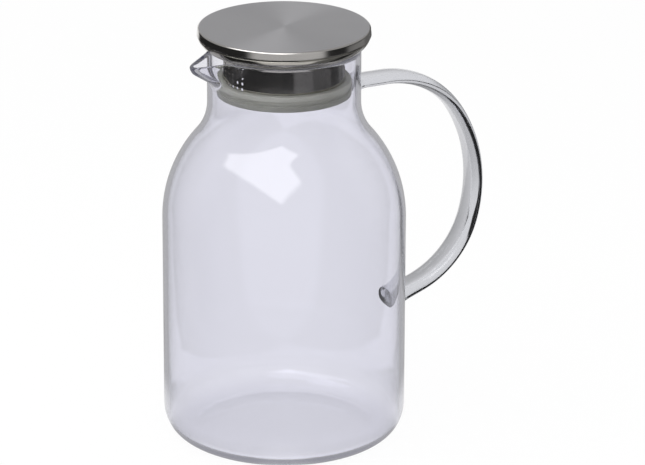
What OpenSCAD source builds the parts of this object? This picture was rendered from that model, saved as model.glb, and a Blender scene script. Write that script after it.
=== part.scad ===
// Glass tea jug: a blown glass body with a pulled spout, a fused glass handle and a lift-off steel lid.
// The lid carries a strainer sleeve with a silicone seal ring, and is turned to face its holes to the spout.
// Frame: Z is the axis of the jug and z = 0 is the table. The spout points along -X and the handle along +X.

/* [Jug] */
// Outside diameter of the body
body_d = 130; // [116:1:146]
// Height of the glass rim above the table
jug_h = 217; // [190:1:245]
// Outside diameter of the neck
neck_d = 81.4; // [74:0.2:90]
// Length of the straight part of the neck
neck_h = 29.1; // [27:0.1:40]
// Wall thickness of the glass
glass_t = 2.7; // [2:0.1:3.2]
// Thickness of the glass bottom
base_t = 3.6; // [2.5:0.1:6]
// Outside radius of the corner between wall and bottom
corner_r = 18; // [10:0.5:24]
// Outside radius of the rounded shoulder
shoulder_r = 70.3; // [55:0.1:80]
// Radius of the hollow curve from the shoulder into the neck
throat_r = 29; // [20:0.5:36]

/* [Spout] */
// How far the spout's tip stands out from the neck
spout_reach = 13.6; // [11:0.1:17]
// How far the tip's lip lies below the glass rim
spout_drop = 3.7; // [2.5:0.1:5]
// Outside radius of the rounded tip
spout_tip_r = 5.5; // [4.5:0.1:6.5]
// Half angle of the spout's cone
spout_angle = 33; // [28:0.5:37]
// Slope of the pouring lip, down from the rim to the tip
spout_slope = 11.5; // [8:0.5:14]

/* [Handle] */
// From the body's wall to the outer face of the handle
handle_reach = 53; // [48:0.5:60]
// Width of the handle's oval section
handle_w = 15.6; // [13:0.1:18]
// Thickness of the handle's oval section
handle_t = 7.5; // [6.5:0.1:9]
// Height of the glass rim above the handle's upper weld
handle_drop = 24.9; // [22:0.1:26]
// Radius of the upper bend, along the middle of the section
bend_top_r = 51.3; // [48:0.1:56]
// Radius of the long outer bend
bend_out_r = 77.4; // [72:0.1:84]
// Radius of the lower bend
bend_low_r = 51.8; // [48:0.1:55]

/* [Lid] */
// How far the lid's edge stands out beyond the neck
lid_over = 5.3; // [4:0.1:7]
// Height of the cover's outer band
cover_h = 4.3; // [3.5:0.1:6]
// Thickness of the lid's pressed steel sheet
sheet_t = 0.8; // [0.6:0.05:1]
// Radius of the cover's upper edge
cover_edge_r = 1.1; // [0.9:0.05:1.4]
// Height of the pressed pan below the seam
pan_h = 7.1; // [6:0.1:9]
// Radius of the pan's lower edge
pan_edge_r = 9; // [9:0.1:11]
// Step from the cover's band in to the pan at the seam
seam_step = 0.3; // [0.2:0.05:0.5]
// Height of the pan's flange inside the cover
flange_h = 2.4; // [1.5:0.1:2.5]

/* [Strainer] */
// Gap between the neck's glass wall and the sleeve
sleeve_gap = 5.9; // [5:0.1:7]
// Length of the sleeve below the pan
sleeve_h = 24.4; // [23.5:0.1:26]
// Thickness of the sleeve's wall
sleeve_t = 0.8; // [0.6:0.05:1]
// Diameter of each pouring hole
hole_d = 1.5; // [1:0.1:1.8]
// Number of hole columns
hole_cols = 7; // [3:1:9]
// Angle between hole columns
hole_step = 6.8; // [6:0.1:8]
// Number of hole rows
hole_rows = 5; // [2:1:5]
// Height between hole rows
hole_pitch = 3; // [2.4:0.1:3.1]

/* [Seal] */
// Height of the seal ring
seal_h = 8.4; // [7:0.1:9]
// Gap between the seal's lips and the neck's glass wall
seal_gap = 2.4; // [1:0.1:2.8]
// Depth of the groove between the seal's two lips
seal_groove = 1; // [0.6:0.1:1.3]
// Height of the groove between the seal's two lips
seal_groove_h = 2.5; // [1.5:0.1:3]
// Depth of the bead that holds the seal on the sleeve
bead = 0.5; // [0.3:0.05:0.6]

/* [Fits] */
// Gap under the lid where it rests on the rim
rest_gap = 0.03; // [0.01:0.01:0.1]
// Running gap between the sleeve and the seal ring
seal_fit = 0.05; // [0.02:0.01:0.1]

/* [Hidden] */
$fn = 120;
body_r = body_d / 2;
neck_r = neck_d / 2;
bore_r = neck_r - glass_t;
rim_r = glass_t / 2;
// The shoulder and throat arcs touch, which sets how high the shoulder is.
arcs_r = shoulder_r + throat_r;
arcs_x = arcs_r - (body_r - neck_r);
shoulder_h = sqrt(arcs_r * arcs_r - arcs_x * arcs_x);
neck_z = jug_h - neck_h;
wall_z = neck_z - shoulder_h;
arcs_k = shoulder_r / arcs_r;
meet_x = body_r - shoulder_r + arcs_x * arcs_k;
meet_z = wall_z + shoulder_h * arcs_k;
// Spout
spout_x = neck_r + spout_reach - spout_tip_r;
spout_z = jug_h - spout_drop;
spout_len = spout_x - 0.74 * neck_r;
// Handle
handle_z = jug_h - handle_drop;
// Directions in which the bends meet each other and the foot, from level.
turn_1 = 32.5;
turn_2 = -16.3;
turn_3 = -69.4;
bend_top_x = body_r + handle_reach - handle_t / 2 - bend_out_r - (bend_top_r - bend_out_r) * cos(turn_1);
bend_top_z = handle_z - bend_top_r;
bend_out_x = bend_top_x + (bend_top_r - bend_out_r) * cos(turn_1);
bend_out_z = bend_top_z + (bend_top_r - bend_out_r) * sin(turn_1);
bend_low_x = bend_out_x + (bend_out_r - bend_low_r) * cos(turn_2);
bend_low_z = bend_out_z + (bend_out_r - bend_low_r) * sin(turn_2);
foot_x = bend_low_x + bend_low_r * cos(turn_3);
foot_z = bend_low_z + bend_low_r * sin(turn_3);
foot_len = (foot_x - body_r + handle_t) / cos(turn_3 + 90);
// Sides of the handle's section and rings round each of its bends
handle_sides = 24;
top_rings = 12;
out_rings = 10;
low_rings = 11;
// Lid
lid_r = neck_r + lid_over;
pan_z = jug_h + rest_gap;
seam_z = pan_z + pan_h;
seam_r = lid_r - seam_step;
pan_rise = pan_edge_r - pan_h;
pan_x = seam_r - sqrt(pan_edge_r * pan_edge_r - pan_rise * pan_rise);
flange_r = lid_r - sheet_t;
// Strainer sleeve and its seal ring
sleeve_r = bore_r - sleeve_gap;
sleeve_z = pan_z - sleeve_h;
seal_r = bore_r - seal_gap;
seal_in_r = sleeve_r + seal_fit;
seal_mid_z = sleeve_z + seal_h / 2;
bead_r = sleeve_r + sleeve_t - bead;
bead_box = 3 * sleeve_t;
hole_z = sleeve_z + seal_h + 0.2 + hole_d / 2;

// Outline of the jug from its axis to a wall set in by `inset`, without its rim.
module jug_outline(inset, floor_z) {
    edge_r = corner_r - inset;
    translate([0, floor_z]) square([body_r - inset - edge_r, wall_z - floor_z]);
    translate([0, floor_z + edge_r]) square([body_r - inset, wall_z - floor_z - edge_r]);
    intersection() {
        translate([body_r - inset - edge_r, floor_z + edge_r]) circle(edge_r);
        square([body_r, floor_z + edge_r + 1]);
    }
    intersection() {
        translate([body_r - shoulder_r, wall_z]) circle(shoulder_r - inset);
        translate([0, wall_z - 0.5]) square([body_r, meet_z - wall_z + 0.5]);
    }
    difference() {
        translate([0, meet_z - 2]) square([meet_x + 1, neck_z - meet_z + 2]);
        translate([neck_r + throat_r, neck_z]) circle(throat_r + inset);
        translate([body_r - shoulder_r, wall_z]) throat_trim(inset);
    }
}

// What lies outside the shoulder arc, so the throat's block doesn't stand out of it.
module throat_trim(inset) {
    difference() {
        square([body_r + shoulder_r, meet_z - wall_z]);
        circle(shoulder_r - inset);
    }
}

module jug_outer() {
    rotate_extrude() {
        jug_outline(0, 0);
        translate([0, neck_z - 0.5]) square([neck_r, neck_h + 0.5 - rim_r]);
        square([neck_r - rim_r, jug_h]);
        translate([neck_r - rim_r, jug_h - rim_r]) circle(rim_r);
    }
}

module jug_inner() {
    rotate_extrude() {
        jug_outline(glass_t, base_t);
        translate([0, neck_z - 0.5]) square([bore_r, neck_h + 2]);
        difference() {
            translate([0, jug_h - rim_r]) square([bore_r + rim_r, rim_r + 1]);
            translate([bore_r + rim_r, jug_h - rim_r]) circle(rim_r);
        }
    }
}

// A rounded cone lying along X: the spout's outside, or its channel when `r` is smaller.
module spout_form(r) {
    translate([-spout_x, 0, spout_z]) rotate([0, 90, 0]) rotate([0, 0, 180]) rotate_extrude() {
        intersection() {
            circle(r);
            translate([0, -2 * r]) square([2 * r, 3 * r]);
        }
        polygon([
            [0, -r * sin(spout_angle)],
            [r * cos(spout_angle), -r * sin(spout_angle)],
            [(r + spout_len * sin(spout_angle)) / cos(spout_angle), spout_len],
            [0, spout_len]
        ]);
    }
}

// The space above the sloping pouring lip.
module lip_space() {
    translate([-neck_r - spout_reach, 0, spout_z]) rotate([0, -spout_slope, 0]) {
        translate([-spout_tip_r, -neck_r, 0]) cube([spout_tip_r + neck_r, neck_d, neck_r]);
    }
}

module jug_body() {
    color([0.86, 0.87, 0.9, 0.35]) difference() {
        difference() {
            union() {
                jug_outer();
                spout_form(spout_tip_r);
            }
            lip_space();
        }
        union() {
            jug_inner();
            spout_form(spout_tip_r - glass_t);
        }
    }
}

// Rings of the handle as [x, z, outward angle]: `count` rings round one bend, from angle `a` to `b`.
function bend_rings(x, z, r, a, b, count) = [
    for (i = [1 : count])
        let (turn = a + (b - a) * i / count)
            [x + r * cos(turn), z + r * sin(turn), turn]
];

// A point of the oval section, its thin way across the bends.
function section_point(ring, turn) = [
    ring[0] + handle_t / 2 * cos(turn) * cos(ring[2]),
    handle_w / 2 * sin(turn),
    ring[1] + handle_t / 2 * cos(turn) * sin(ring[2])
];

// The handle as one sweep of the oval section, from inside the neck to inside the body.
module handle_path() {
    rings = concat(
        [[neck_r - handle_t, handle_z, 90], [bend_top_x, handle_z, 90]],
        bend_rings(bend_top_x, bend_top_z, bend_top_r, 90, turn_1, top_rings),
        bend_rings(bend_out_x, bend_out_z, bend_out_r, turn_1, turn_2, out_rings),
        bend_rings(bend_low_x, bend_low_z, bend_low_r, turn_2, turn_3, low_rings),
        [[foot_x + foot_len * sin(turn_3), foot_z - foot_len * cos(turn_3), turn_3]]
    );
    last = (len(rings) - 1) * handle_sides;
    polyhedron(
        points = [
            for (ring = rings)
                for (side = [0 : handle_sides - 1])
                    section_point(ring, side * 360 / handle_sides)
        ],
        faces = concat(
            [[for (side = [handle_sides - 1 : -1 : 0]) side]],
            [
                for (i = [0 : len(rings) - 2])
                    for (side = [0 : handle_sides - 1])
                        let (next = (side + 1) % handle_sides, low = i * handle_sides)
                            [low + side, low + next, low + handle_sides + next, low + handle_sides + side]
            ],
            [[for (side = [0 : handle_sides - 1]) last + side]]
        )
    );
}

module jug_handle() {
    color([0.84, 0.86, 0.88, 0.4]) difference() {
        handle_path();
        jug_outer();
    }
}

module lid_cover() {
    color([0.62, 0.62, 0.63]) rotate_extrude() difference() {
        union() {
            translate([0, seam_z]) square([lid_r, cover_h - cover_edge_r]);
            translate([0, seam_z]) square([lid_r - cover_edge_r, cover_h]);
            translate([lid_r - cover_edge_r, seam_z + cover_h - cover_edge_r]) circle(cover_edge_r);
        }
        translate([0, seam_z - 1]) square([flange_r, cover_h - sheet_t + 1]);
    }
}

// Outline of the pan under the lid, from its axis to a wall set in by `inset`.
module pan_outline(inset) {
    intersection() {
        union() {
            translate([0, pan_z + inset]) square([pan_x, pan_h]);
            translate([pan_x, pan_z + pan_edge_r]) circle(pan_edge_r - inset);
        }
        translate([0, pan_z]) square([lid_r, pan_h]);
    }
}

module lid_under_plate() {
    color([0.6, 0.6, 0.61]) rotate_extrude() {
        difference() {
            pan_outline(0);
            pan_outline(sheet_t);
            translate([0, seam_z - 0.5]) square([flange_r - sheet_t, 1]);
        }
        translate([flange_r - sheet_t, seam_z - 0.9]) square([sheet_t, flange_h + 0.9]);
    }
}

module strainer_sleeve() {
    color([0.55, 0.55, 0.56]) difference() {
        rotate_extrude() {
            difference() {
                translate([sleeve_r - sleeve_t, sleeve_z]) square([sleeve_t, sleeve_h]);
                translate([bead_r, seal_mid_z]) circle(sleeve_t);
            }
            difference() {
                intersection() {
                    translate([bead_r, seal_mid_z]) circle(2 * sleeve_t);
                    translate([sleeve_r - bead_box, seal_mid_z - bead_box]) square([bead_box, 2 * bead_box]);
                }
                translate([bead_r, seal_mid_z]) circle(sleeve_t);
            }
        }
        strainer_holes();
    }
}

module strainer_holes() {
    for (row = [0 : hole_rows - 1]) {
        for (col = [0 : hole_cols - 1]) {
            rotate([0, 0, 180 + (col - (hole_cols - 1) / 2) * hole_step])
                translate([sleeve_r - 2 * sleeve_t, 0, hole_z + row * hole_pitch])
                    rotate([0, 90, 0]) cylinder(h = 3 * sleeve_t, d = hole_d, $fn = 24);
        }
    }
}

module seal_ring() {
    lip_h = (seal_h - seal_groove_h) / 2;
    color([0.62, 0.66, 0.64]) rotate_extrude() {
        difference() {
            translate([seal_in_r, sleeve_z]) square([seal_r - seal_in_r, seal_h]);
            translate([seal_r - seal_groove, sleeve_z + lip_h]) square([seal_r, seal_groove_h]);
        }
        intersection() {
            translate([bead_r, seal_mid_z]) circle(sleeve_t - seal_fit);
            translate([sleeve_r - bead_box, seal_mid_z - bead_box]) square([bead_box + bead, 2 * bead_box]);
        }
    }
}

jug_body();
jug_handle();
lid_cover();
lid_under_plate();
strainer_sleeve();
seal_ring();
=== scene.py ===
"""Glass tea jug with a steel strainer lid: its looks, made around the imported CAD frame.

Every shape is worked out in millimetres in the row's frame (+Z up, spout along -X, handle
along +X) and written to Blender in metres.
"""
import math
from functools import reduce

import bmesh
import bpy
import numpy as np
from mathutils import Matrix, Vector


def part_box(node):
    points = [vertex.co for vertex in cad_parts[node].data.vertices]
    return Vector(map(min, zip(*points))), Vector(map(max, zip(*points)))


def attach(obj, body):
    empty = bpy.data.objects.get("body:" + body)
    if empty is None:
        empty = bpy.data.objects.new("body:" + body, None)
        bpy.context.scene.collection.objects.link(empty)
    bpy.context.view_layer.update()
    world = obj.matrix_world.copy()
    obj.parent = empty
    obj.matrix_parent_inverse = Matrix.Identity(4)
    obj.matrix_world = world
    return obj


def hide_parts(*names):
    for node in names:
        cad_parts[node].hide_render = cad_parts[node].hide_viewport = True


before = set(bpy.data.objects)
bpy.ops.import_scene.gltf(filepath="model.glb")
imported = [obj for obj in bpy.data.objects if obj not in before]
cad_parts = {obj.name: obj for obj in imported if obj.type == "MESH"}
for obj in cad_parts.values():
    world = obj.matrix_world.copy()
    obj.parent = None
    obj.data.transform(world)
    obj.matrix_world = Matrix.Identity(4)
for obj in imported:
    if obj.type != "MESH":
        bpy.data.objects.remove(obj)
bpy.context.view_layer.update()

MM = 0.001
HALVINGS = 50

# Sizes read from the frame, in millimetres
BODY_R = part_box("jug_body")[1][1] / MM
JUG_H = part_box("jug_body")[1][2] / MM
LID_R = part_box("lid_cover")[1][0] / MM
LID_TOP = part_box("lid_cover")[1][2] / MM
SEAM_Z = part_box("lid_cover")[0][2] / MM
PAN_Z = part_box("lid_under_plate")[0][2] / MM
SLEEVE_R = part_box("strainer_sleeve")[1][0] / MM
SLEEVE_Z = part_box("strainer_sleeve")[0][2] / MM
SEAL_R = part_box("seal_ring")[1][0] / MM
SEAL_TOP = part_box("seal_ring")[1][2] / MM

# Glass jug: the CAD's sizes, but a thinner bottom that runs into the wall in one wide curve. A
# corner is a quarter of a superellipse, and SQUARE is its exponent
GLASS_T = 2.7
BASE_T = 2.0
NECK_R = 40.7
BORE_R = NECK_R - GLASS_T
NECK_Z = JUG_H - 29.1
CORNER_R = 18.0
CORNER_SQUARE = 2.3
INNER_CORNER_W = 58.0
INNER_CORNER_SQUARE = 4.4
SHOULDER_R = 70.3
THROAT_R = 29.0
RIM_R = GLASS_T / 2
# The shoulder's arc runs into the throat's where the line between their centres crosses both
ARCS_R = SHOULDER_R + THROAT_R
ARCS_X = ARCS_R - (BODY_R - NECK_R)
WALL_Z = NECK_Z - math.sqrt(ARCS_R ** 2 - ARCS_X ** 2)
SHOULDER_TURN = math.degrees(math.acos(ARCS_X / ARCS_R))

# Spout: a rounded cone whose open top follows a sloping lip. The jug's columns lie close together
# in the SPOUT_FIELD, in degrees to both sides of it
TIP_X = NECK_R + 13.6
SPOUT_R = 5.5
SPOUT_X = TIP_X - SPOUT_R
SPOUT_Z = JUG_H - 3.7
SPOUT_HALF = math.radians(33)
SPOUT_LENGTH = SPOUT_X - 0.74 * NECK_R
SPOUT_FIELD = 36
LIP_SLOPE = math.radians(11.5)
SPOUT_BLEND = 2.2
LIP_BLEND = 0.8

# Handle: its oval section from the upper weld to the lower one, and the middle line's arcs
HANDLE_W = (15.0, 15.5, 16.0, 16.5)
HANDLE_T = (7.5, 6.7, 7.7, 8.4)
HANDLE_SQUARE = (2.0, 2.0, 2.4, 2.4, 2.4, 2.4)
HANDLE_REACH = 53.0
HANDLE_OUT_X = BODY_R + HANDLE_REACH - HANDLE_T[0] / 2
HANDLE_Z = JUG_H - 24.9
BEND_TOP_R = 51.3
BEND_OUT_R = 77.4
BEND_LOW_R = 51.8
TURN_1 = 32.5
TURN_2 = -16.3
TURN_3 = -69.4
HANDLE_SINK = 2.0
SEAT_REACH = 16.0
WELD_GAP = 0.02
WELD_START = 0.6
WELD_FLARE = 0.22
WELD_LENGTH = 3.0

# Lid
SHEET_T = 0.8
COVER_EDGE_R = 1.1
COVER_EDGE_W = 0.3
BRUSHED_Z = LID_TOP - 0.06
BAND_DRAFT_TOP = 8.0
BAND_DRAFT_LOW = 4.0
HEM_R = 0.35
SEAM_GAP = 0.9
SEAM_DEPTH = 1.0
PAN_EDGE_R = 9.0
PAN_LIP_R = 0.35
SEAM_R = LID_R - 0.3
FLANGE_H = 2.4
FLANGE_FIT = 0.02

# Sleeve, with a groove that takes the seal's bead and a field of holes, each in a square of its
# grid that is CELL steps wide and high
SLEEVE_T = 0.45
SLEEVE_FLARE = 0.22
SLEEVE_FLARE_H = 8.0
BEAD_R = SLEEVE_R + 0.3
BEAD_SIZE = 0.8
BEAD_REACH = 1.2
BEAD_MARGIN = 0.1
HOLE_R = 0.85
HOLE_COLS = 8
HOLE_STEP = 6.3
HOLE_ROWS = 5
HOLE_PITCH = 3.1
HOLE_Z = SEAL_TOP + 0.6
CELL = 4

# Seal
SEAL_MID_Z = (SLEEVE_Z + SEAL_TOP) / 2
SEAL_FIT = 0.05
SEAL_EDGE_R = 0.7
SEAL_FOOT = 0.5
GROOVE_D = 1.0
GROOVE_H = 2.5
GROOVE_R = 0.3

# Camera of the photograph
VIEW_AZIMUTH = math.radians(-26.0)
VIEW_ELEVATION = math.radians(20.3)
VIEW_DISTANCE = 2.3
VIEW_TARGET = Vector((0, 0, 0.113))
VIEW_LENS = 240.2
VIEW_SENSOR = 36
VIEW_SHIFT_X = 0.0595

# Studio, where a brightness of 1 is white. The fields of the room lie in spans of angle, in degrees
# from the backdrop's middle to the right as it is seen from the front, and of height, which is the
# z of their direction
BACKDROP_AZIMUTH = math.radians(64)
AMBIENT = 0.65
FLOOR_SIZE = 12
FLOOR_GAP = 0.1
FLOOR_GLOW = 0.94
CEILING_START = (0.1, 0.3)
ROOM_DARK = 0.02

# What the steel mirrors. A strip is its span, its brightness and where it fades out upwards
BACKDROP_SPAN = (-28, 8)
CEILING_LIGHT = 0.4
LAMP_SPAN = (-3, 3)
LAMP_HEIGHTS = (0.5, 0.75)
LAMP_LIGHT = 0.13
FRONT_RIGHT = (120, 132)
FRONT_LEFT = (-144, -128)
WALL_START = (-0.26, -0.14)
WALL_LIGHT = 0.62
TABLE_END = (-0.55, -0.42)
TABLE_LIGHT = 0.75
TABLE_NEAR = (-1.0, -0.8)
TABLE_NEAR_SHARE = 0.8
RAIL_SPAN = (55, 85)
RAIL_HEIGHTS = (-0.25, -0.17)
RAIL_LIGHT = 0.25
STRIPS = (
    ((128, 160), 0.2, None),
    ((88, 122), 0.13, (-0.28, -0.22)),
    ((22, 56), 0.15, None),
)

# What the thin clear glass mirrors, and what is seen through it high up
GLASS_TURNS = (75, 115)
GLASS_SEES_BACK = 0.5
GLASS_SEES_FRONT = 0.06
FOOT_HEIGHTS = (-0.95, -0.88)
GLASS_SEES_FOOT = 0.85
FOOT_DIM_SPAN = (100, 160)
FOOT_DIM = 0.45
HIGH_START = (0.1, 0.35)
THROUGH_GLASS_HIGH = 0.85

# What is seen through the handle
HANDLE_DIM_SPAN = (-15, 55)
HANDLE_DIM_RIGHT = 0.66
HANDLE_DIM_HEIGHTS = (-0.9, -0.3)
HANDLE_DIM_LOW = 0.7
SCREEN_LEFT = (-125, -74)
SCREEN_RIGHT = (98, 160)
SCREEN_RIGHT_HEIGHTS = (-0.62, -0.25)

# Glass. Rays that stay trapped in it end after TRAPPED_AFTER mirrored bounces in painted light that
# the glass itself gives off: a lighter glow below the heights FOOT_Z, and above them the material's own
# glow
FOOT_Z = (20, 60)
FOOT_PAINTED_LIGHT = 0.5
TRAPPED_AFTER = 3.5
SHADOW_TINT = (0.93, 0.93, 0.95, 1)

# Silicone: its two tones, and the painted shade that darkens its lower lip, with the half height of the
# change to it
SILICONE_TONES = ((0.625, 0.63, 0.53, 1), (0.71, 0.715, 0.615, 1))
SILICONE_LIP_PAINTED_SHADE = 0.66
SILICONE_PAINTED_SHADE_EDGE = 0.8

WHITE = (1, 1, 1, 1)


# ---------------------------------------------------------------- mesh helpers

def arc(centre_r, centre_z, radius, start, end, steps):
    """Profile points (r, z) along an arc, angles in degrees from +r towards +z."""
    return [
        (centre_r + radius * math.cos(math.radians(a)), centre_z + radius * math.sin(math.radians(a)))
        for a in np.linspace(start, end, steps + 1)
    ]


def line(start, end, steps):
    """Profile points from start to end, both included."""
    return [tuple(p) for p in np.linspace(start, end, steps + 1)]


def joined(*parts):
    """One profile from several stretches, with the points they share kept once."""
    points = []
    for part in parts:
        for p in part:
            if not points or math.dist(p, points[-1]) > 1e-6:
                points.append(p)
    return points


def make_mesh(name, verts, faces, materials, body, slot, *nodes):
    """A smooth-shaded piece in metres from verts in millimetres, riding on a body in place of its nodes."""
    mesh = bpy.data.meshes.new(name)
    mesh.from_pydata([(x * MM, y * MM, z * MM) for x, y, z in verts], [], faces)
    mesh.update()
    shape = bmesh.new()
    shape.from_mesh(mesh)
    bmesh.ops.delete(shape, geom=[v for v in shape.verts if not v.link_faces], context="VERTS")
    bmesh.ops.recalc_face_normals(shape, faces=shape.faces)
    shape.to_mesh(mesh)
    shape.free()
    mesh.polygons.foreach_set("use_smooth", [True] * len(mesh.polygons))
    for material in materials:
        mesh.materials.append(material)
    piece = bpy.data.objects.new(name, mesh)
    bpy.context.scene.collection.objects.link(piece)
    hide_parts(*nodes)
    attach(piece, body)
    return piece


def loft(rings, closed):
    """Verts and faces of a tube through equal rings of points. A ring of one repeated point is a pole."""
    verts = []
    index = []
    for ring in rings:
        if all(math.dist(p, ring[0]) < 1e-9 for p in ring):
            index.append([len(verts)] * len(ring))
            verts.append(tuple(ring[0]))
        else:
            index.append(list(range(len(verts), len(verts) + len(ring))))
            verts.extend(tuple(p) for p in ring)
    faces = []
    count = len(rings[0])
    pairs = list(zip(index, index[1:] + index[:1])) if closed else list(zip(index, index[1:]))
    for low, high in pairs:
        for j in range(count):
            k = (j + 1) % count
            corners = []
            for v in (low[j], low[k], high[k], high[j]):
                if v not in corners:
                    corners.append(v)
            if len(corners) > 2:
                faces.append(corners)
    return verts, faces


def revolve(profile, closed, segments=240):
    """Verts and faces of a profile [(r, z)] turned about the Z axis."""
    turns = [2 * math.pi * j / segments for j in range(segments)]
    rings = [[(r * math.cos(t), r * math.sin(t), z) for t in turns] for r, z in profile]
    return loft(rings, closed)


def sharpen(piece, angle):
    """Marks the edges that bend by more than an angle in degrees as sharp."""
    shape = bmesh.new()
    shape.from_mesh(piece.data)
    for edge in shape.edges:
        edge.smooth = edge.calc_face_angle(0) < math.radians(angle)
    shape.to_mesh(piece.data)
    shape.free()


def flat_normals(piece):
    """Keeps flat faces flat next to their small rounded edges."""
    modifier = piece.modifiers.new("flat_normals", "WEIGHTED_NORMAL")
    modifier.keep_sharp = True


# ---------------------------------------------------------------- shader nodes

def new_material(name):
    """An empty node material, its tree and its output node."""
    material = bpy.data.materials.new(name)
    material.use_nodes = True
    material.node_tree.nodes.clear()
    output = material.node_tree.nodes.new("ShaderNodeOutputMaterial")
    return material, material.node_tree, output


def node(tree, kind, **settings):
    """A new node with its properties and input values set by name."""
    made = tree.nodes.new(kind)
    for key, value in settings.items():
        if hasattr(made, key):
            setattr(made, key, value)
        else:
            made.inputs[key.replace("_", " ")].default_value = value
    return made


def feed(tree, value, socket):
    """Sets a socket to a number, or links an output to it."""
    if isinstance(value, (int, float)):
        socket.default_value = value
    else:
        tree.links.new(value, socket)


def calc(tree, operation, *values):
    """The result of a Math node over values that are outputs or numbers."""
    made = node(tree, "ShaderNodeMath", operation=operation)
    for socket, value in zip(made.inputs, values):
        feed(tree, value, socket)
    return made.outputs["Value"]


def product(tree, *values):
    """All the values multiplied."""
    return reduce(lambda a, b: calc(tree, "MULTIPLY", a, b), values)


def highest(tree, *values):
    """The highest of the values."""
    return reduce(lambda a, b: calc(tree, "MAXIMUM", a, b), values)


def choose(tree, factor, when_0, when_1):
    """when_0 where factor is 0 and when_1 where it is 1."""
    made = node(tree, "ShaderNodeMix", data_type="FLOAT")
    for name, value in (("Factor", factor), ("A", when_0), ("B", when_1)):
        feed(tree, value, made.inputs[name])
    return made.outputs["Result"]


def choose_shader(tree, factor, when_0, when_1):
    """The shader when_0 where factor is 0 and when_1 where it is 1."""
    made = tree.nodes.new("ShaderNodeMixShader")
    for socket, value in zip(made.inputs, (factor, when_0, when_1)):
        tree.links.new(value, socket)
    return made.outputs["Shader"]


def ramp(tree, value, span, low=0.0, high=1.0, interpolation="SMOOTHSTEP"):
    """low up to the start of span, high from its end on, and between them a smooth step, or a straight
    line where interpolation is LINEAR."""
    made = node(tree, "ShaderNodeMapRange", interpolation_type=interpolation, To_Min=low, To_Max=high)
    made.inputs["From Min"].default_value, made.inputs["From Max"].default_value = span
    tree.links.new(value, made.inputs["Value"])
    return made.outputs["Result"]


def window(tree, value, span, edge):
    """1 within span, falling to 0 over edge on both sides."""
    start, end = span
    rise = ramp(tree, value, (start - edge, start))
    fall = ramp(tree, value, (end, end + edge), 1.0, 0.0)
    return product(tree, rise, fall)


def spread(tree, value, low, high):
    """A value from 0 to 1 spread evenly from low to high."""
    return ramp(tree, value, (0.0, 1.0), low, high, "LINEAR")


def split(tree, vector):
    """The X, Y and Z of a vector."""
    parts = tree.nodes.new("ShaderNodeSeparateXYZ")
    tree.links.new(vector, parts.inputs["Vector"])
    return parts.outputs["X"], parts.outputs["Y"], parts.outputs["Z"]


def place_on_piece(tree):
    """The place on the piece in metres, in the row's frame at rest."""
    return tree.nodes.new("ShaderNodeTexCoord").outputs["Object"]


def noise(tree, place, scale, detail, roughness):
    """Noise from 0 to 1."""
    made = node(tree, "ShaderNodeTexNoise", Scale=scale, Detail=detail, Roughness=roughness)
    tree.links.new(place, made.inputs["Vector"])
    return made.outputs["Fac"]


def bump(tree, height, strength, distance):
    """The normal of a surface that a height from 0 to 1 raises by up to a distance in metres."""
    made = node(tree, "ShaderNodeBump", Strength=strength, Distance=distance)
    tree.links.new(height, made.inputs["Height"])
    return made.outputs["Normal"]


def emission(tree, strength):
    """White light of a strength that is an output."""
    made = node(tree, "ShaderNodeEmission", Color=WHITE)
    tree.links.new(strength, made.inputs["Strength"])
    return made.outputs["Emission"]


# ---------------------------------------------------------------- materials

def glass_material(name, tint, roughness, ripple_scale, absorbed, density, trapped_painted_light):
    """Clear borosilicate glass with the faint uneven surface of blown glass. Rays that stay trapped
    in it end in painted light that the glass gives off: a grey glow instead of black, lighter in its foot."""
    material, tree, output = new_material(name)
    link = tree.links.new
    shader = node(
        tree, "ShaderNodeBsdfPrincipled", Base_Color=(*tint, 1), Roughness=roughness,
        Transmission_Weight=1.0, IOR=1.47,
    )
    place = place_on_piece(tree)
    ripple = noise(tree, place, ripple_scale, detail=2.0, roughness=0.4)
    link(bump(tree, ripple, strength=0.25, distance=0.4 * MM), shader.inputs["Normal"])
    # A shadow goes straight through the glass, without its caustics
    clear = node(tree, "ShaderNodeBsdfTransparent", Color=SHADOW_TINT)
    rays = tree.nodes.new("ShaderNodeLightPath").outputs
    surface = choose_shader(tree, rays["Is Shadow Ray"], shader.outputs["BSDF"], clear.outputs["BSDF"])
    # Painted light: trapped rays end in a glow from the glass itself, lighter near its foot
    foot = [height * MM for height in FOOT_Z]
    trapped = emission(tree, ramp(tree, split(tree, place)[2], foot, FOOT_PAINTED_LIGHT, trapped_painted_light))
    ends = calc(tree, "GREATER_THAN", rays["Glossy Depth"], TRAPPED_AFTER)
    link(choose_shader(tree, ends, surface, trapped), output.inputs["Surface"])
    material.cycles.emission_sampling = "NONE"
    absorb = node(tree, "ShaderNodeVolumeAbsorption", Color=(*absorbed, 1), Density=density)
    link(absorb.outputs["Volume"], output.inputs["Volume"])
    return material


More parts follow.
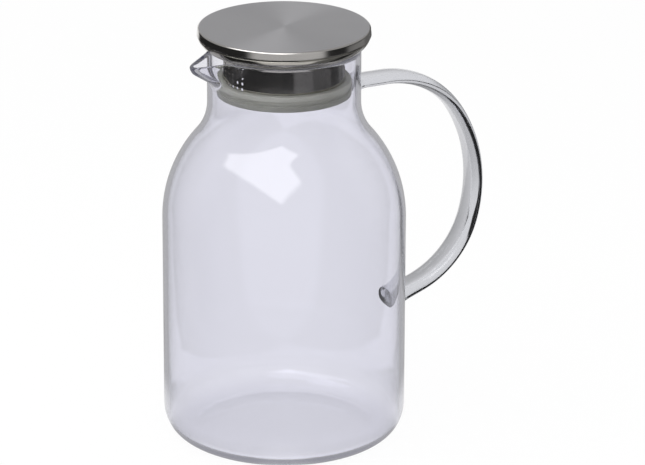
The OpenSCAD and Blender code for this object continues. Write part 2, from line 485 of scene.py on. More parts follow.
def brushed_steel():
    """Stainless steel brushed in circles about the jug's axis."""
    material, tree, output = new_material("brushed_steel")
    link = tree.links.new
    shader = node(
        tree, "ShaderNodeBsdfPrincipled", Base_Color=(0.6, 0.595, 0.615, 1), Metallic=1,
        Anisotropic=0.85, Anisotropic_Rotation=0.25,
    )
    tangent = node(tree, "ShaderNodeTangent", direction_type="RADIAL", axis="Z")
    link(tangent.outputs["Tangent"], shader.inputs["Tangent"])
    x, y, _ = split(tree, place_on_piece(tree))
    flat = tree.nodes.new("ShaderNodeCombineXYZ")
    link(x, flat.inputs["X"])
    link(y, flat.inputs["Y"])
    radius = node(tree, "ShaderNodeVectorMath", operation="LENGTH")
    link(flat.outputs["Vector"], radius.inputs[0])
    # Fine circular scratches: noise that runs quickly outwards and slowly round the axis
    quickly = 60.0
    rings = tree.nodes.new("ShaderNodeCombineXYZ")
    link(product(tree, radius.outputs["Value"], quickly), rings.inputs["X"])
    link(x, rings.inputs["Y"])
    link(y, rings.inputs["Z"])
    scratches = noise(tree, rings.outputs["Vector"], scale=45.0, detail=5.0, roughness=0.65)
    link(spread(tree, scratches, low=0.24, high=0.36), shader.inputs["Roughness"])
    link(bump(tree, scratches, strength=0.25, distance=0.03 * MM), shader.inputs["Normal"])
    link(shader.outputs["BSDF"], output.inputs["Surface"])
    return material


def polished_steel(name, colour, roughness, line_scale):
    """Pressed and polished steel with slight unevenness and faint lines from drawing it, which run
    round it where line_scale is above 1 and up and down where it is below."""
    material, tree, output = new_material(name)
    link = tree.links.new
    shader = node(tree, "ShaderNodeBsdfPrincipled", Base_Color=(*colour, 1), Metallic=1)
    squeeze = node(tree, "ShaderNodeMapping", vector_type="POINT", Scale=(1, 1, line_scale))
    link(place_on_piece(tree), squeeze.inputs["Vector"])
    lines = noise(tree, squeeze.outputs["Vector"], scale=60.0, detail=4.0, roughness=0.6)
    uneven = spread(tree, lines, low=roughness * 0.7, high=roughness * 1.35)
    link(uneven, shader.inputs["Roughness"])
    link(bump(tree, lines, strength=0.12, distance=0.03 * MM), shader.inputs["Normal"])
    link(shader.outputs["BSDF"], output.inputs["Surface"])
    return material


def silicone_material():
    """Translucent grey silicone with a satin, slightly cloudy skin, and painted shade that darkens its
    lower lip."""
    material, tree, output = new_material("silicone")
    link = tree.links.new
    shader = node(
        tree, "ShaderNodeBsdfPrincipled", Roughness=0.42, IOR=1.42, Transmission_Weight=0.35
    )
    place = place_on_piece(tree)
    cloud = noise(tree, place, scale=120.0, detail=3.0, roughness=0.5)
    tones = tree.nodes.new("ShaderNodeValToRGB")
    for stop, position, tone in zip(tones.color_ramp.elements, (0.3, 0.7), SILICONE_TONES):
        stop.position = position
        stop.color = tone
    link(cloud, tones.inputs["Fac"])
    # Painted shade: the colour turns darker below the groove, over the lower lip
    groove = [(SEAL_MID_Z + side * SILICONE_PAINTED_SHADE_EDGE) * MM for side in (-1, 1)]
    share = ramp(tree, split(tree, place)[2], groove, SILICONE_LIP_PAINTED_SHADE, 1.0, "LINEAR")
    shaded = node(tree, "ShaderNodeVectorMath", operation="SCALE")
    link(tones.outputs["Color"], shaded.inputs[0])
    link(share, shaded.inputs["Scale"])
    link(shaded.outputs["Vector"], shader.inputs["Base Color"])
    link(bump(tree, cloud, strength=0.15, distance=0.1 * MM), shader.inputs["Normal"])
    link(shader.outputs["BSDF"], output.inputs["Surface"])
    return material


# ---------------------------------------------------------------- glass jug

def smooth_min(a, b, blend):
    """The lower of a and b, with the crease between them rounded over a width of blend."""
    h = np.clip(blend - np.abs(a - b), 0, None) / blend
    return np.minimum(a, b) - h * h * blend / 4


def wall_radius(turn, z, neck_r, tip_r):
    """Distance of the neck's or the spout's wall from the axis, for arrays of turn and height."""
    turn, z = np.broadcast_arrays(turn, z)
    # Bisection between a radius inside the wall and one beyond the tip
    low = np.full(turn.shape, neck_r - 1.0)
    high = np.full(turn.shape, TIP_X + 2.0)
    drop = np.minimum(z - SPOUT_Z, 0)
    for _ in range(HALVINGS):
        r = (low + high) / 2
        along = r * np.cos(turn) + SPOUT_X
        across = np.hypot(r * np.sin(turn), drop)
        cone = across * math.cos(SPOUT_HALF) - along * math.sin(SPOUT_HALF) - tip_r
        ball = np.hypot(along, across) - tip_r
        on_cone = along * math.cos(SPOUT_HALF) + across * math.sin(SPOUT_HALF) > 0
        spout = np.where(along < SPOUT_LENGTH, np.where(on_cone, cone, ball), TIP_X)
        outside = smooth_min(r - neck_r, spout, SPOUT_BLEND) > 0
        high = np.where(outside, r, high)
        low = np.where(outside, low, r)
    return (low + high) / 2


def column_turns():
    """Angles of the jug's columns, close together round the spout at half a turn."""
    near = np.arange(-SPOUT_FIELD, SPOUT_FIELD, 0.6)
    far = np.linspace(SPOUT_FIELD, 360 - SPOUT_FIELD, 180, endpoint=False)
    return np.radians(np.concatenate([near, far]) + 180)


def corner(x, z, width, height, square):
    """A corner that turns up from flat: a quarter of a superellipse, round where square is 2. Its
    points lie closer together at the top, where it meets the wall."""
    turns = np.radians(90 * (1 - np.linspace(1, 0, 31) ** 2))
    return [
        (x + width * math.sin(t) ** (2 / square), z + height * (1 - math.cos(t) ** (2 / square)))
        for t in turns
    ]


def jug_side(inset, floor_z, corner_w, square):
    """Profile of one side of the wall, from the axis on the floor up to the start of the neck."""
    wall_r = BODY_R - inset
    edge_r = wall_r - corner_w
    return joined(
        line((0, floor_z), (edge_r, floor_z), 8),
        corner(edge_r, floor_z, corner_w, CORNER_R - floor_z, square),
        line((wall_r, CORNER_R), (wall_r, WALL_Z), 10),
        arc(BODY_R - SHOULDER_R, WALL_Z, SHOULDER_R - inset, 0, SHOULDER_TURN, 20),
        arc(NECK_R + THROAT_R, NECK_Z, THROAT_R + inset, 180 + SHOULDER_TURN, 180, 12),
    )


def jug_rings():
    """Rings of points of the jug, over the outside, the rim and the inside."""
    turns = column_turns()
    outer_top = wall_radius(turns, JUG_H, NECK_R, SPOUT_R)
    inner_top = wall_radius(turns, JUG_H, BORE_R, SPOUT_R - GLASS_T)
    middle = (outer_top + inner_top) / 2
    half = (outer_top - inner_top) / 2
    lip = SPOUT_Z + (middle * np.cos(turns) + TIP_X) * math.tan(LIP_SLOPE)
    top = smooth_min(np.full(turns.shape, JUG_H), lip, LIP_BLEND)
    steps = np.linspace(0, 1, 27)[1:]

    def ring(radius, z):
        """The points over all the turns, where radius and z are numbers or arrays."""
        radius, z = np.broadcast_arrays(radius, z)
        return np.stack([radius * np.cos(turns), radius * np.sin(turns), z], axis=1).tolist()

    def wall(profile, neck_r, tip_r):
        """Rings up one side of the wall, the neck and the spout included."""
        rings = [ring(np.full(turns.shape, r), z) for r, z in profile]
        for step in steps:
            z = NECK_Z + step * (top - RIM_R - NECK_Z)
            rings.append(ring(wall_radius(turns, z, neck_r, tip_r), z))
        return rings

    outside = wall(jug_side(0, 0, CORNER_R, CORNER_SQUARE), NECK_R, SPOUT_R)
    inner_side = jug_side(GLASS_T, BASE_T, INNER_CORNER_W, INNER_CORNER_SQUARE)
    inside = wall(inner_side, BORE_R, SPOUT_R - GLASS_T)
    rim = []
    for angle in np.radians(np.arange(15, 180, 15)):
        rim.append(ring(middle + half * math.cos(angle), top - RIM_R + RIM_R * math.sin(angle)))
    return outside + rim + inside[::-1]


def outer_radius(z):
    """Radius of the jug's outside at a height, without the spout."""
    if z > NECK_Z:
        return NECK_R
    if z > WALL_Z + SHOULDER_R * math.sin(math.radians(SHOULDER_TURN)):
        return NECK_R + THROAT_R - math.sqrt(THROAT_R ** 2 - (NECK_Z - z) ** 2)
    if z > WALL_Z:
        return BODY_R - SHOULDER_R + math.sqrt(SHOULDER_R ** 2 - (z - WALL_Z) ** 2)
    return BODY_R


def make_jug_body(glass):
    """The blown body with its neck and spout, in one skin over the outside, the rim and the inside."""
    verts, faces = loft(jug_rings(), closed=False)
    make_mesh("glass_body", verts, faces, [glass], "jug", "glass", "jug_body")


# ---------------------------------------------------------------- handle

def handle_line():
    """The handle's middle line in the XZ plane: points and directions from the neck to the foot."""
    top = math.radians(TURN_1)
    low = math.radians(TURN_2)
    out_x = HANDLE_OUT_X - BEND_OUT_R
    out_z = HANDLE_Z - BEND_TOP_R + (BEND_TOP_R - BEND_OUT_R) * math.sin(top)
    top_x = out_x + (BEND_OUT_R - BEND_TOP_R) * math.cos(top)
    top_z = out_z + (BEND_OUT_R - BEND_TOP_R) * math.sin(top)
    low_x = out_x + (BEND_OUT_R - BEND_LOW_R) * math.cos(low)
    low_z = out_z + (BEND_OUT_R - BEND_LOW_R) * math.sin(low)
    points = [(x, HANDLE_Z, 90.0) for x in np.linspace(NECK_R - HANDLE_SINK, top_x, 14)]
    # Centre, radius, first and last turn, and steps of each bend
    bends = [
        (top_x, top_z, BEND_TOP_R, 90, TURN_1, 60),
        (out_x, out_z, BEND_OUT_R, TURN_1, TURN_2, 70),
        (low_x, low_z, BEND_LOW_R, TURN_2, TURN_3, 60),
    ]
    for x, z, r, start, end, steps in bends:
        for a in np.linspace(start, end, steps + 1)[1:]:
            points.append((x + r * math.cos(math.radians(a)), z + r * math.sin(math.radians(a)), a))
    foot_x, foot_z, angle = points[-1]
    heading = math.radians(angle - 90)
    length = (foot_x - BODY_R) / -math.cos(heading) + HANDLE_SINK
    for s in np.linspace(0, length, 12)[1:]:
        points.append((foot_x + s * math.cos(heading), foot_z + s * math.sin(heading), angle))
    return points


def seat(x, y, z, dx, dz):
    """The point of the ray from (x, y, z) along (dx, 0, dz) that lies a weld gap outside the glass."""
    # Bisection between a point outside the glass and one inside it
    near, far = -SEAT_REACH, SEAT_REACH
    for _ in range(HALVINGS):
        s = (near + far) / 2
        px, pz = x + s * dx, z + s * dz
        if math.hypot(px, y) > outer_radius(pz) + WELD_GAP:
            near = s
        else:
            far = s
    return x + near * dx, y, z + near * dz


def superellipse(turns, square):
    """Coordinates of a superellipse of size 1 at some angles: a circle where square is 2."""
    cos, sin = np.cos(turns), np.sin(turns)
    return np.sign(cos) * np.abs(cos) ** (2 / square), np.sign(sin) * np.abs(sin) ** (2 / square)


def spaced(values, share):
    """The value at a share of the handle's length, between values that are spaced evenly along it."""
    return float(np.interp(share, np.linspace(0, 1, len(values)), values))


def handle_rings():
    """Rings of the handle's oval section along its middle line, a little larger at the welds."""
    points = handle_line()
    spans = [0.0]
    for a, b in zip(points, points[1:]):
        spans.append(spans[-1] + math.hypot(b[0] - a[0], b[1] - a[1]))
    total = spans[-1]
    around = np.radians(np.arange(0, 360, 5))
    rings = []
    for (x, z, angle), span in zip(points, spans):
        share = span / total
        from_weld = max(min(span, total - span) - HANDLE_SINK, 0)
        swell = 1 + WELD_FLARE * math.exp(-((from_weld / WELD_LENGTH) ** 2))
        half_t = spaced(HANDLE_T, share) / 2 * swell
        half_w = spaced(HANDLE_W, share) / 2 * swell
        out_x, out_z = math.cos(math.radians(angle)), math.sin(math.radians(angle))
        outwards, aside = superellipse(around, spaced(HANDLE_SQUARE, share))
        rings.append([
            (x + half_t * a * out_x, half_w * b, z + half_t * a * out_z)
            for a, b in zip(outwards.tolist(), aside.tolist())
        ])
    return rings, points


def make_handle(glass):
    """Sweeps the oval along the middle line, cuts both ends off at the glass and closes them on it."""
    rings, points = handle_rings()
    angle = math.radians(points[-1][2] - 90)
    body = [
        ring for ring in rings
        if all(math.hypot(x, y) > outer_radius(z) + WELD_START for x, y, z in ring)
    ]

    def capped(ring, direction):
        """The ring slid along direction onto the glass, and smaller rings that close the end."""
        dx, dz = direction
        cx = sum(p[0] for p in ring) / len(ring)
        cz = sum(p[2] for p in ring) / len(ring)
        made = []
        for scale in (1.0, 0.97, 0.8, 0.6, 0.4, 0.2, 0.0):
            made.append([
                seat(cx + (x - cx) * scale, y * scale, cz + (z - cz) * scale, dx, dz)
                for x, y, z in ring
            ])
        return made

    head = capped(body[0], (-1.0, 0.0))
    foot = capped(body[-1], (math.cos(angle), math.sin(angle)))
    verts, faces = loft(head[::-1] + body + foot, closed=False)
    make_mesh("glass_handle", verts, faces, [glass], "jug", "glass", "jug_handle")


# ---------------------------------------------------------------- lid

def make_cover(brushed, polished):
    """The lid's cover: a shallow cap whose flat top is brushed and whose band is polished."""
    low_z = SEAM_Z + HEM_R
    low_r = LID_R - HEM_R
    band_start = low_r + HEM_R * math.cos(math.radians(BAND_DRAFT_LOW))
    draft = math.radians((BAND_DRAFT_TOP + BAND_DRAFT_LOW) / 2)
    edge_z = LID_TOP - COVER_EDGE_R
    band_end = band_start - (edge_z - low_z) * math.tan(draft)
    edge_x = band_end - COVER_EDGE_R * math.cos(math.radians(BAND_DRAFT_TOP))
    band_top_z = edge_z + COVER_EDGE_R * math.sin(math.radians(BAND_DRAFT_TOP))
    band_low_z = low_z + HEM_R * math.sin(math.radians(BAND_DRAFT_LOW))
    inner_r = LID_R - SEAM_DEPTH
    profile = joined(
        line((0, LID_TOP), (edge_x - COVER_EDGE_W, LID_TOP), 16),
        line((edge_x - COVER_EDGE_W, LID_TOP), (edge_x, LID_TOP), 1),
        arc(edge_x, edge_z, COVER_EDGE_R, 90, BAND_DRAFT_TOP, 12),
        line((band_end, band_top_z), (band_start, band_low_z), 6)[1:-1],
        arc(low_r, low_z, HEM_R, BAND_DRAFT_LOW, -90, 7),
        line((low_r, SEAM_Z), (inner_r, SEAM_Z), 2),
        line((inner_r, SEAM_Z), (inner_r, LID_TOP - SHEET_T), 3),
        line((inner_r, LID_TOP - SHEET_T), (0, LID_TOP - SHEET_T), 6),
    )
    verts, faces = revolve(profile, closed=False)
    piece = make_mesh("lid_cap", verts, faces, [polished, brushed], "lid", "cover_steel", "lid_cover")
    for polygon in piece.data.polygons:
        if polygon.center.z > BRUSHED_Z * MM:
            polygon.material_index = 1
    flat_normals(piece)


def make_pan(polished):
    """The pressed pan that closes the lid from below, with its flange inside the cover."""
    corner_r = SEAM_R - math.sqrt(PAN_EDGE_R ** 2 - (PAN_EDGE_R - (SEAM_Z - PAN_Z)) ** 2)
    corner_z = PAN_Z + PAN_EDGE_R
    lip_top = SEAM_Z - SEAM_GAP
    lip_z = lip_top - PAN_LIP_R
    end = -math.asin((corner_z - lip_z) / (PAN_EDGE_R - PAN_LIP_R))
    lip_r = corner_r + (PAN_EDGE_R - PAN_LIP_R) * math.cos(end)
    end = math.degrees(end)
    inner = PAN_EDGE_R - SHEET_T
    inner_end = -math.degrees(math.asin((corner_z - lip_top + SHEET_T) / inner))
    flange_r = LID_R - SEAM_DEPTH - FLANGE_FIT
    flange_top = SEAM_Z + FLANGE_H
    profile = joined(
        line((0, PAN_Z), (corner_r, PAN_Z), 12),
        arc(corner_r, corner_z, PAN_EDGE_R, -90, end, 22),
        arc(lip_r, lip_z, PAN_LIP_R, end, 90, 7),
        line((lip_r, lip_top), (flange_r, lip_top), 1),
        line((flange_r, lip_top), (flange_r, flange_top), 3),
        line((flange_r, flange_top), (flange_r - SHEET_T, flange_top), 1),
        line((flange_r - SHEET_T, flange_top), (flange_r - SHEET_T, lip_top), 2),
        arc(corner_r, corner_z, inner, inner_end, -90, 14),
        line((corner_r, PAN_Z + SHEET_T), (0, PAN_Z + SHEET_T), 6),
    )
    verts, faces = revolve(profile, closed=False)
    piece = make_mesh(
        "lid_pan", verts, faces, [polished], "lid", "pressed_steel", "lid_under_plate"
    )
    flat_normals(piece)


def flare(z):
    """How far the sleeve widens just above the seal."""
    if z <= SEAL_TOP:
        return 0.0
    rise = max(1 - (z - SEAL_TOP) / SLEEVE_FLARE_H, 0)
    return SLEEVE_FLARE * rise * rise


def sleeve_rows():
    """Heights of the sleeve's rows with its outer and inner radius, and where the hole cells start."""
    plain = BEAD_REACH + BEAD_MARGIN
    heights = list(np.linspace(SLEEVE_Z, SEAL_MID_Z - plain, 4))
    heights += list(np.linspace(SEAL_MID_Z - BEAD_REACH, SEAL_MID_Z + BEAD_REACH, 13))
    heights += list(np.linspace(SEAL_MID_Z + plain, HOLE_Z - HOLE_PITCH / 2, 5))
    first = len(heights) - 1
    cells_top = HOLE_Z + (HOLE_ROWS - 0.5) * HOLE_PITCH
    heights += list(np.linspace(heights[-1], cells_top, HOLE_ROWS * CELL + 1))[1:]
    heights += list(np.linspace(cells_top, PAN_Z, 3))[1:]
    rows = []
    for z in heights:
        groove = BEAD_R - math.sqrt(max(BEAD_SIZE ** 2 - (z - SEAL_MID_Z) ** 2, 0))
        outer_r = min(SLEEVE_R, groove) + flare(z)
        rows.append((z, outer_r, outer_r - SLEEVE_T))
    return rows, first


def make_sleeve(polished):
    """The strainer sleeve: a thin tube with a field of drilled holes that faces the spout."""
    rows, first_row = sleeve_rows()
    field = HOLE_COLS * HOLE_STEP
    near = np.linspace(-field / 2, field / 2, HOLE_COLS * CELL + 1)
    far = np.linspace(field / 2, 360 - field / 2, 121)[1:-1]
    turns = np.radians(np.concatenate([near, far]) + 180)
    count = len(turns)
    verts = []
    faces = []

    def point(turn, r, z):
        """The index of a new vertex."""
        verts.append((r * math.cos(turn), r * math.sin(turn), z))
        return len(verts) - 1

    outer = [[point(t, ro, z) for t in turns] for z, ro, ri in rows]
    inner = [[point(t, ri, z) for t in turns] for z, ro, ri in rows]
    in_field = range(first_row, first_row + HOLE_ROWS * CELL)
    for i in range(len(rows) - 1):
        for j in range(count):
            if i in in_field and j < HOLE_COLS * CELL:
                continue
            k = (j + 1) % count
            faces.append((outer[i][j], outer[i][k], outer[i + 1][k], outer[i + 1][j]))
            faces.append((inner[i][j], inner[i + 1][j], inner[i + 1][k], inner[i][k]))
    for j in range(count):
        k = (j + 1) % count
        faces.append((outer[0][j], inner[0][j], inner[0][k], outer[0][k]))
        faces.append((outer[-1][j], outer[-1][k], inner[-1][k], inner[-1][j]))
    for row in range(HOLE_ROWS):
        for col in range(HOLE_COLS):
            add_hole(outer, inner, first_row + row * CELL, col * CELL, point, faces, verts)
    piece = make_mesh(
        "strainer_tube", verts, faces, [polished], "lid", "pressed_steel", "strainer_sleeve"
    )
    sharpen(piece, 50)


def turn_of(x, y):
    """Angle of a point about the axis, from 0 to a full turn."""
    return math.atan2(y, x) % (2 * math.pi)


def add_hole(outer, inner, i, j, point, faces, verts):
    """Fills one cell of the sleeve's grid with a round hole through both sides."""
    border = [(i, j + n) for n in range(CELL)]
    border += [(i + n, j + CELL) for n in range(CELL)]
    border += [(i + CELL, j + CELL - n) for n in range(CELL)]
    border += [(i + CELL - n, j) for n in range(CELL)]
    rings = []
    for grid, inset in ((outer, 0), (inner, SLEEVE_T)):
        edge = [grid[a][b] for a, b in border]
        low, high = verts[grid[i][j]], verts[grid[i + CELL][j + CELL]]
        turn = (turn_of(*low[:2]) + turn_of(*high[:2])) / 2
        mid_z = (low[2] + high[2]) / 2
        r = SLEEVE_R - inset
        circle = []
        for v in edge:
            x, y, z = verts[v]
            across = (turn_of(x, y) - turn) * r
            angle = math.atan2(z - mid_z, across)
            rim_z = mid_z + HOLE_R * math.sin(angle)
            circle.append(point(turn + HOLE_R * math.cos(angle) / r, r + flare(rim_z), rim_z))
        rings.append((edge, circle))
    (outer_edge, outer_circle), (inner_edge, inner_circle) = rings
    count = len(outer_edge)
    for n in range(count):
        m = (n + 1) % count
        faces.append((outer_edge[n], outer_edge[m], outer_circle[m], outer_circle[n]))
        faces.append((inner_edge[n], inner_circle[n], inner_circle[m], inner_edge[m]))
        faces.append((outer_circle[n], outer_circle[m], inner_circle[m], inner_circle[n]))


def make_seal(silicone):
    """The seal ring: two rounded lips with a groove between them, beaded onto the sleeve."""
    inner_r = SLEEVE_R + SEAL_FIT
    low, high = SLEEVE_Z, SEAL_TOP
    low_lip, high_lip = SEAL_MID_Z - GROOVE_H / 2, SEAL_MID_Z + GROOVE_H / 2
    big, small = SEAL_EDGE_R, SEAL_EDGE_R / 2
    groove_r = SEAL_R - GROOVE_D + GROOVE_R
    bead_r = BEAD_SIZE - SEAL_FIT
    reach = math.degrees(math.acos((inner_r - BEAD_R) / bead_r))
    profile = joined(
        line((inner_r, low), (SEAL_R - big, low), 3),
        arc(SEAL_R - big, low + big, big, -90, 0, 6),
        line((SEAL_R, low + big), (SEAL_R, low_lip - small), 2),
        arc(SEAL_R - small, low_lip - small, small, 0, 90, 4),
        arc(groove_r, low_lip + GROOVE_R, GROOVE_R, 270, 180, 4),
        arc(groove_r, high_lip - GROOVE_R, GROOVE_R, 180, 90, 4),
        arc(SEAL_R - small, high_lip + small, small, -90, 0, 4),
        line((SEAL_R, high_lip + small), (SEAL_R, high - big), 2),
        arc(SEAL_R - big, high - big, big, 0, 90, 6),
        line((SEAL_R - big, high), (inner_r, high), 3),
        arc(BEAD_R, SEAL_MID_Z, bead_r, reach, 360 - reach, 12),
        line((inner_r, low + SEAL_FOOT), (inner_r, low), 1),
    )
    verts, faces = revolve(profile[:-1], closed=True)
    make_mesh("seal", verts, faces, [silicone], "seal", "silicone", "seal_ring")


# ---------------------------------------------------------------- stage, light and camera

def room_angles(tree, direction):
    """Angle of a direction from the backdrop's middle, in degrees to the right, and its height."""
    x, y, z = split(tree, direction)
    back_x, back_y = math.cos(BACKDROP_AZIMUTH), math.sin(BACKDROP_AZIMUTH)
    along = calc(tree, "ADD", product(tree, x, back_x), product(tree, y, back_y))
    aside = calc(tree, "ADD", product(tree, x, back_y), product(tree, y, -back_x))
    return product(tree, calc(tree, "ARCTAN2", aside, along), 180 / math.pi), z


def steel_room(tree, angle, z):
    """Brightness of the room as metal mirrors it: a white backdrop behind the object, dim sides with
    grey strips, a grey ceiling with a small lamp, and in front a bright table and wall with a dark
    gap between them, which a faint rail runs through on the right."""
    backdrop = product(
        tree, window(tree, angle, BACKDROP_SPAN, edge=8), ramp(tree, z, CEILING_START, 1.0, 0.0)
    )
    lamp = product(tree, window(tree, angle, LAMP_SPAN, edge=2), window(tree, z, LAMP_HEIGHTS, edge=0.1))
    ceiling = calc(
        tree, "ADD", ramp(tree, z, CEILING_START, 0.0, CEILING_LIGHT), product(tree, lamp, LAMP_LIGHT)
    )
    in_front = calc(
        tree, "ADD", ramp(tree, angle, FRONT_RIGHT), ramp(tree, angle, FRONT_LEFT, 1.0, 0.0)
    )
    wall = ramp(tree, z, WALL_START, 0.0, WALL_LIGHT)
    table = product(
        tree, ramp(tree, z, TABLE_END, TABLE_LIGHT, 0.0), ramp(tree, z, TABLE_NEAR, TABLE_NEAR_SHARE, 1.0)
    )
    front = product(tree, in_front, highest(tree, wall, table))
    rail = product(
        tree, window(tree, angle, RAIL_SPAN, edge=12), window(tree, z, RAIL_HEIGHTS, edge=0.04), RAIL_LIGHT
    )
    strips = 0.0
    for span, light, top in STRIPS:
        strip = product(tree, window(tree, angle, span, edge=5), light)
        if top is not None:
            strip = product(tree, strip, ramp(tree, z, top, 1.0, 0.0))
        strips = calc(tree, "ADD", strips, strip)
    return highest(tree, backdrop, ceiling, front, rail, strips, ROOM_DARK)


def glass_room(tree, angle, z):
    """Brightness of the room as the thin clear wall mirrors it: light behind the object and on the
    floor round its foot, less so in front, and dim in front."""
    aside = calc(tree, "ABSOLUTE", angle)
    room = ramp(tree, aside, GLASS_TURNS, GLASS_SEES_BACK, GLASS_SEES_FRONT)
    foot = choose(tree, window(tree, aside, FOOT_DIM_SPAN, edge=15), GLASS_SEES_FOOT, FOOT_DIM)
    return choose(tree, ramp(tree, z, FOOT_HEIGHTS, 1.0, 0.0), room, foot)


def handle_room(tree, angle, z):
    """Brightness of the room through the thick glass of the handle: white, a little dimmer low down
    and to the right, with dark screens far to the sides that draw a line along its outer edge."""
    dim = product(
        tree, ramp(tree, angle, HANDLE_DIM_SPAN, 1.0, HANDLE_DIM_RIGHT),
        ramp(tree, z, HANDLE_DIM_HEIGHTS, HANDLE_DIM_LOW, 1.0),
    )
    white = choose(tree, ramp(tree, z, CEILING_START), dim, 1.0)
    right = product(
        tree, window(tree, angle, SCREEN_RIGHT, edge=6), window(tree, z, SCREEN_RIGHT_HEIGHTS, edge=0.04)
    )
    dark = highest(tree, window(tree, angle, SCREEN_LEFT, edge=3), right)
    return choose(tree, dark, white, ROOM_DARK)


def backdrop_strength(tree, direction, straight):
    """Brightness of the backdrop in a direction for all the rays that see it, and white for the
    camera. straight is what a ray that was never mirrored sees through the thin glass."""
    rays = tree.nodes.new("ShaderNodeLightPath").outputs
    angle, z = room_angles(tree, direction)
    mirrored = calc(tree, "MINIMUM", rays["Glossy Depth"], 1.0)
    # A singular ray comes from the thin glass, which is the only smooth surface. One that the steel
    # mirrored leaves through that glass too, but it has passed three surfaces or more by then
    few_surfaces = calc(tree, "LESS_THAN", rays["Transmission Depth"], 3.0)
    mirrored_again = calc(tree, "GREATER_THAN", rays["Glossy Depth"], 1.5)
    by_glass = product(tree, highest(tree, few_surfaces, mirrored_again), rays["Is Singular Ray"])
    # A blurred ray that was refracted comes from the handle
    blurred = calc(tree, "SUBTRACT", 1.0, rays["Is Singular Ray"])
    in_handle = product(tree, few_surfaces, blurred, rays["Is Transmission Ray"])
    room = choose(tree, by_glass, steel_room(tree, angle, z), glass_room(tree, angle, z))
    seen = choose(tree, mirrored, straight, room)
    seen = choose(tree, in_handle, seen, handle_room(tree, angle, z))
    return choose(tree, rays["Is Camera Ray"], seen, 1.0)


def sees_backdrop(tree):
    """An output that is 1 for the rays that see the backdrop: camera, glossy and transmission rays."""
    rays = tree.nodes.new("ShaderNodeLightPath").outputs
    return highest(tree, rays["Is Camera Ray"], rays["Is Glossy Ray"], rays["Is Transmission Ray"])


def make_floor():
    """A plain white floor that keeps a faint shadow. What it shows to mirrored rays depends on the
    direction in which a place lies from the lid. It lies just below the jug's foot."""
    bpy.ops.mesh.primitive_plane_add(size=FLOOR_SIZE)
    floor = bpy.context.object
    floor.name = "floor"
    floor.location.z = -FLOOR_GAP * MM
    material, tree, output = new_material("floor")
    link = tree.links.new
    from_lid = node(tree, "ShaderNodeVectorMath", operation="SUBTRACT")
    from_lid.inputs[1].default_value = (0, 0, LID_TOP * MM)
    link(tree.nodes.new("ShaderNodeNewGeometry").outputs["Position"], from_lid.inputs[0])
    direction = node(tree, "ShaderNodeVectorMath", operation="NORMALIZE")
    link(from_lid.outputs["Vector"], direction.inputs[0])
    paper = node(tree, "ShaderNodeBsdfDiffuse", Color=WHITE)
    glow = emission(tree, backdrop_strength(tree, direction.outputs["Vector"], 1.0))
    mirrored = tree.nodes.new("ShaderNodeLightPath").outputs["Glossy Depth"]
    share = choose(tree, calc(tree, "MINIMUM", mirrored, 1.0), FLOOR_GLOW, 1.0)
    glowing = product(tree, sees_backdrop(tree), share)
    link(choose_shader(tree, glowing, paper.outputs["BSDF"], glow), output.inputs["Surface"])
    floor.data.materials.append(material)


def make_world():
    """The backdrop above the floor, and a plain fill light."""
    world = bpy.data.worlds.new("studio")
    bpy.context.scene.world = world
    world.use_nodes = True
    tree = world.node_tree
    tree.nodes.clear()
    output = tree.nodes.new("ShaderNodeOutputWorld")
    direction = tree.nodes.new("ShaderNodeTexCoord").outputs["Generated"]
    above = ramp(tree, split(tree, direction)[2], HIGH_START, 1.0, THROUGH_GLASS_HIGH)
    backdrop = backdrop_strength(tree, direction, above)
    background = node(tree, "ShaderNodeBackground", Color=WHITE)
    tree.links.new(choose(tree, sees_backdrop(tree), AMBIENT, backdrop), background.inputs["Strength"])
    tree.links.new(background.outputs["Background"], output.inputs["Surface"])


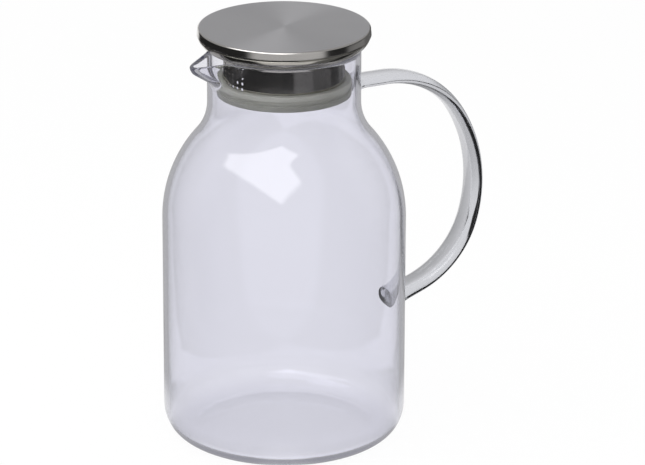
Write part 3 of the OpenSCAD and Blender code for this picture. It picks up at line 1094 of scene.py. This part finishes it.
def area_light(name, target, direction, distance, size, shift, roll, radiance, edge):
    """A softbox that faces target from a direction, moved aside by shift and rolled by roll degrees,
    with its radiance on the scale where 1 is white and a soft edge over a share of its size."""
    data = bpy.data.lights.new(name, "AREA")
    data.shape = "RECTANGLE"
    data.size, data.size_y = size
    data.energy = radiance * math.pi * size[0] * size[1]
    data.use_nodes = True
    tree = data.node_tree
    place = tree.nodes.new("ShaderNodeNewGeometry").outputs["Parametric"]
    sides = [window(tree, part, (edge, 1 - edge), edge) for part in split(tree, place)[:2]]
    tree.links.new(product(tree, *sides), tree.nodes["Emission"].inputs["Strength"])
    lamp = bpy.data.objects.new(name, data)
    bpy.context.scene.collection.objects.link(lamp)
    towards = Vector(direction).normalized()
    side = Vector((0, 0, 1)).cross(towards).normalized()
    up = towards.cross(side)
    turn = math.radians(roll)
    across = side * math.cos(turn) + up * math.sin(turn)
    upward = towards.cross(across)
    pose = Matrix((across, upward, towards)).transposed().to_4x4()
    pose.translation = Vector(target) + towards * distance + across * shift
    lamp.matrix_world = pose


def make_lights():
    """One large softbox above the spout's side, which the shoulder mirrors."""
    area_light(
        "softbox", target=(-0.03, -0.037, 0.168), direction=(-0.5, -0.2, 0.84), distance=1.3,
        size=(2.24, 0.96), shift=0.12, roll=-11, radiance=2.6, edge=0.12,
    )


def make_camera():
    """The camera of the photograph: a long lens at the solved angle."""
    data = bpy.data.cameras.new("camera")
    data.lens = VIEW_LENS
    data.sensor_width = VIEW_SENSOR
    data.shift_x = VIEW_SHIFT_X
    camera = bpy.data.objects.new("camera", data)
    bpy.context.scene.collection.objects.link(camera)
    away = Vector((
        math.sin(VIEW_AZIMUTH) * math.cos(VIEW_ELEVATION),
        -math.cos(VIEW_AZIMUTH) * math.cos(VIEW_ELEVATION),
        math.sin(VIEW_ELEVATION),
    ))
    camera.location = VIEW_TARGET + away * VIEW_DISTANCE
    camera.rotation_euler = away.to_track_quat("Z", "Y").to_euler()
    bpy.context.scene.camera = camera


make_camera()
make_world()
make_floor()
make_lights()

glass = glass_material(
    "clear_glass", tint=(0.945, 0.945, 0.985), roughness=0.0, ripple_scale=35.0,
    absorbed=(0.5, 0.5, 0.62), density=40, trapped_painted_light=0.3,
)
handle_glass = glass_material(
    "handle_glass", tint=(0.72, 0.723, 0.755), roughness=0.02, ripple_scale=60.0,
    absorbed=(0.5, 0.53, 0.56), density=12, trapped_painted_light=0.02,
)
brushed = brushed_steel()
bright_band = polished_steel("bright_steel", (0.62, 0.6, 0.58), roughness=0.16, line_scale=20)
pressed = polished_steel("pressed_steel", (0.59, 0.57, 0.525), roughness=0.14, line_scale=0.2)
silicone = silicone_material()

make_jug_body(glass)
make_handle(handle_glass)
make_cover(brushed, bright_band)
make_pan(pressed)
make_sleeve(pressed)
make_seal(silicone)

bpy.context.scene.view_settings.view_transform = "Standard"
